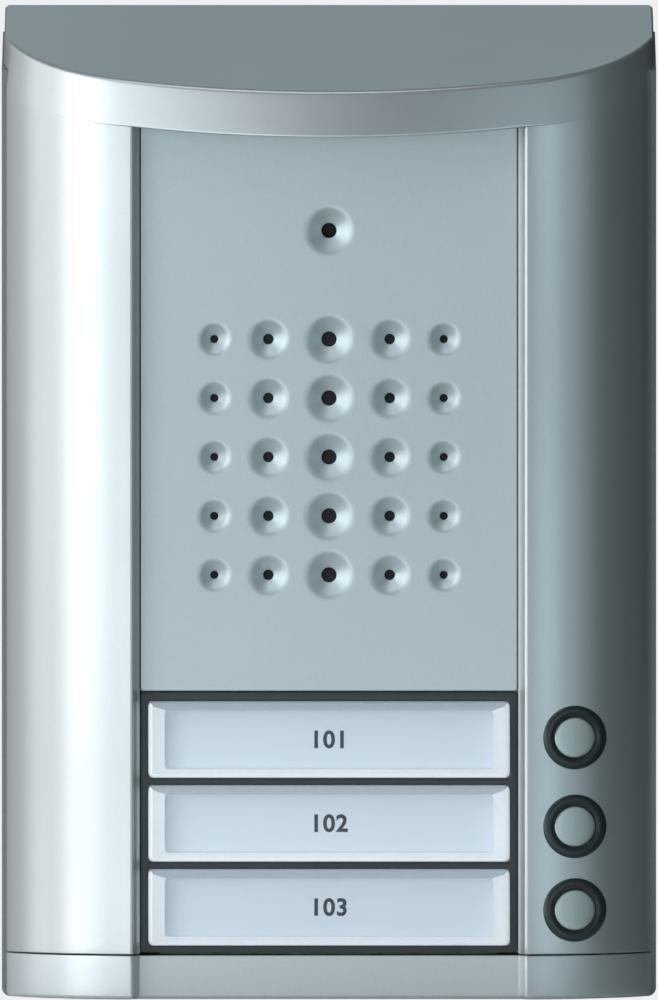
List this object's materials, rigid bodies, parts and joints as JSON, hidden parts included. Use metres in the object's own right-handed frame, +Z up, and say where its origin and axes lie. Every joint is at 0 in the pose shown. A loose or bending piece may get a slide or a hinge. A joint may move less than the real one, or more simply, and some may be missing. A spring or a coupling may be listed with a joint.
{
  "type": "door intercom panel",
  "caption": "Wall-mounted door intercom panel with a rain hood, dimpled speech grille, lit nameplates and call buttons beside them.",
  "frame": {"origin": "middle of the four wall screw holes, on the wall plane at the back, at mid height and mid width", "axes": "+Z up, +X to the right as seen from the front, front faces -Y, the wall plane is y = 0"},
  "size_m": [0.113, 0.04, 0.1714],
  "materials": {
    "metallic_paint": "satin",
    "housing_plastic": "matte",
    "button_metal": "satin",
    "ring_plastic": "satin",
    "frame_plastic": "satin",
    "clear_window": "clear",
    "card_paper": "matte",
    "diffuser_plastic": "translucent",
    "rubber": "matte",
    "membrane": "matte",
    "screw_steel": "satin",
    "basket_steel": "satin",
    "magnet": "matte",
    "cone": "matte",
    "capsule": "satin",
    "leads": "satin",
    "led": "gloss",
    "moulding": "matte",
    "switch_plastic": "matte",
    "board": "satin",
    "component_blue": "gloss",
    "terminal_plastic": "satin"
  },
  "bodies": {
    "housing": {"rear_housing": "housing_plastic", "wall_gasket": "rubber", "cable_grommet": "rubber", "cover_seal": "rubber", "front_cover": "metallic_paint", "bottom_cap": "metallic_paint", "lock_screw": "screw_steel", "speaker_panel": "metallic_paint", "acoustic_membrane": "membrane", "speaker_gasket": "rubber", "speaker_basket": "basket_steel", "speaker_magnet": "magnet", "speaker_cone": "cone", "speaker_clamps": "screw_steel", "speaker_screws": "screw_steel", "microphone_capsule": "capsule", "microphone_boot": "rubber", "microphone_leads": "leads", "nameplate_frame": "frame_plastic", "window_1": "clear_window", "window_2": "clear_window", "window_3": "clear_window", "name_card_1": "card_paper", "name_card_2": "card_paper", "name_card_3": "card_paper", "light_diffuser": "diffuser_plastic", "light_box": "diffuser_plastic", "backlight_leds": "led", "button_ring_1": "ring_plastic", "button_ring_2": "ring_plastic", "button_ring_3": "ring_plastic", "key_switches": "switch_plastic", "button_guide": "moulding", "main_board": "board", "board_screws": "screw_steel", "circuit_chips": "switch_plastic", "capacitors": "component_blue", "relay": "component_blue", "trimmer_bodies": "component_blue", "terminal_block": "terminal_plastic", "terminal_screws": "screw_steel"},
    "button_1": {"button_cap_1": "button_metal", "button_stem_1": "moulding", "button_spring_1": "screw_steel", "switch_plunger_1": "switch_plastic"},
    "button_2": {"button_cap_2": "button_metal", "button_stem_2": "moulding", "button_spring_2": "screw_steel", "switch_plunger_2": "switch_plastic"},
    "button_3": {"button_cap_3": "button_metal", "button_stem_3": "moulding", "button_spring_3": "screw_steel", "switch_plunger_3": "switch_plastic"},
    "volume_rotor_1": {"trimmer_rotor_1": "moulding"},
    "volume_rotor_2": {"trimmer_rotor_2": "moulding"}
  },
  "joints": [
    {"name": "button_1_press", "type": "slide", "parent": "housing", "child": "button_1", "axis": [0, 1, 0], "range_m": [0, 0.001], "stiffness_N_per_m": 1200, "springref_m": -0.001, "deforming": ["button_spring_1"]},
    {"name": "button_2_press", "type": "slide", "parent": "housing", "child": "button_2", "axis": [0, 1, 0], "range_m": [0, 0.001], "stiffness_N_per_m": 1200, "springref_m": -0.001, "deforming": ["button_spring_2"]},
    {"name": "button_3_press", "type": "slide", "parent": "housing", "child": "button_3", "axis": [0, 1, 0], "range_m": [0, 0.001], "stiffness_N_per_m": 1200, "springref_m": -0.001, "deforming": ["button_spring_3"]},
    {"name": "volume_1_turn", "type": "hinge", "parent": "housing", "child": "volume_rotor_1", "pos_m": [-0.034, -0.006, 0.01], "axis": [0, -1, 0], "range_deg": [-135, 135]},
    {"name": "volume_2_turn", "type": "hinge", "parent": "housing", "child": "volume_rotor_2", "pos_m": [-0.034, -0.006, 0.024], "axis": [0, -1, 0], "range_deg": [-135, 135]}
  ]
}
